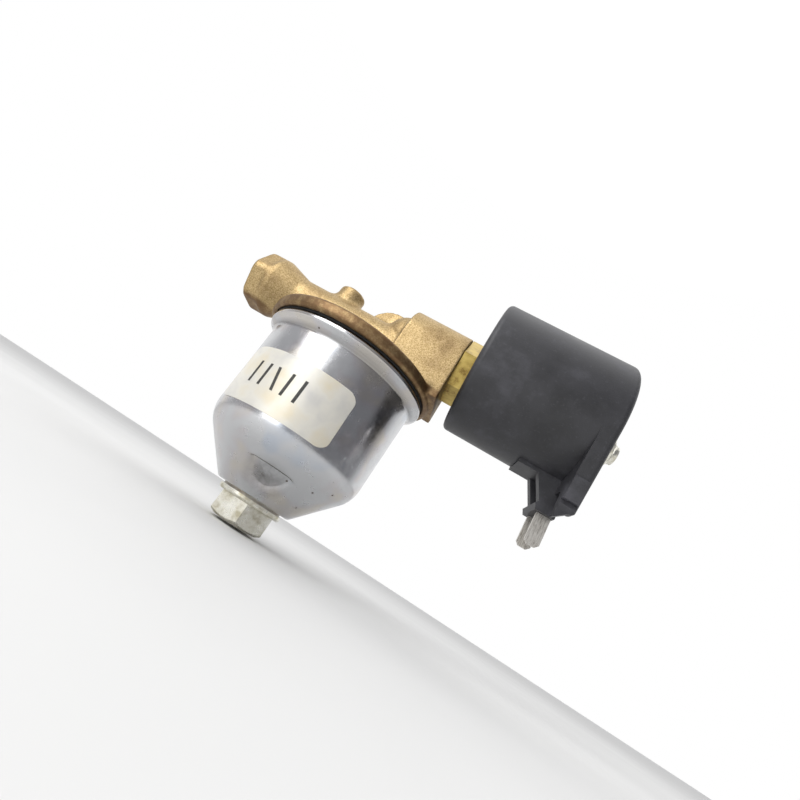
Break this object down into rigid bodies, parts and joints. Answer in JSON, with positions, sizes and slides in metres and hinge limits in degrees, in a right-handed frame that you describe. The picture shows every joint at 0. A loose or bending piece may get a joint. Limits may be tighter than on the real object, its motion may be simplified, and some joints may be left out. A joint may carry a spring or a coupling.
{
  "type": "solenoid valve",
  "caption": "Normally closed solenoid shut-off valve: forged brass body with a steel filter bowl below, side inlet and rear outlet, and a moulded coil with blade terminals on the end.",
  "frame": {"origin": "mouth of the tapped mounting boss on top of the valve body", "axes": "+Z out of the boss along its tapped hole, away from the filter bowl; +X along the coil and armature tube, towards the coil; +Y towards the outlet"},
  "size_m": [0.1073, 0.0488, 0.0849],
  "materials": {
    "black_moulding": "satin black moulding",
    "bobbin_plastic": "natural nylon",
    "bolt_zinc": "zinc plated steel",
    "brass_forged": "matt forged brass",
    "brass_machined": "machined brass",
    "cap_plastic": "glass filled nylon",
    "copper": "soft copper",
    "filter_felt": "filter paper",
    "label_paper": "satin silver label film",
    "rubber_black": "nitrile rubber",
    "stainless": "drawn stainless steel",
    "steel": "soft magnetic steel",
    "tinned": "dull tinned brass",
    "winding_wire": "enamelled copper wire",
    "zinc_steel": "bright zinc plate"
  },
  "bodies": {
    "valve": {"valve_body": "brass_forged", "seat_insert": "brass_machined", "filter_bowl": "zinc_steel", "bowl_label": "label_paper", "bowl_seal": "rubber_black", "bolt_washer": "copper", "bowl_bolt": "bolt_zinc", "filter_gasket": "rubber_black", "filter_top_cap": "cap_plastic", "filter_bottom_cap": "cap_plastic", "filter_element": "filter_felt", "filter_tube": "stainless", "filter_spring": "stainless", "armature_base": "brass_machined", "base_seal": "rubber_black", "armature_tube": "stainless", "fixed_core": "steel", "return_spring": "stainless", "bobbin": "bobbin_plastic", "winding": "winding_wire", "yoke": "steel", "coil_housing": "black_moulding", "front_blade": "tinned", "rear_blade": "tinned", "coil_washer": "bolt_zinc", "coil_screw": "bolt_zinc"},
    "plunger": {"plunger": "steel", "plunger_seal": "rubber_black"}
  },
  "joints": [
    {"name": "plunger_slide", "type": "slide", "parent": "valve", "child": "plunger", "axis": [1, 0, 0], "range_m": [0, 0.0015], "stiffness_N_per_m": 600, "springref_m": -0.004, "deforming": ["return_spring"]}
  ]
}
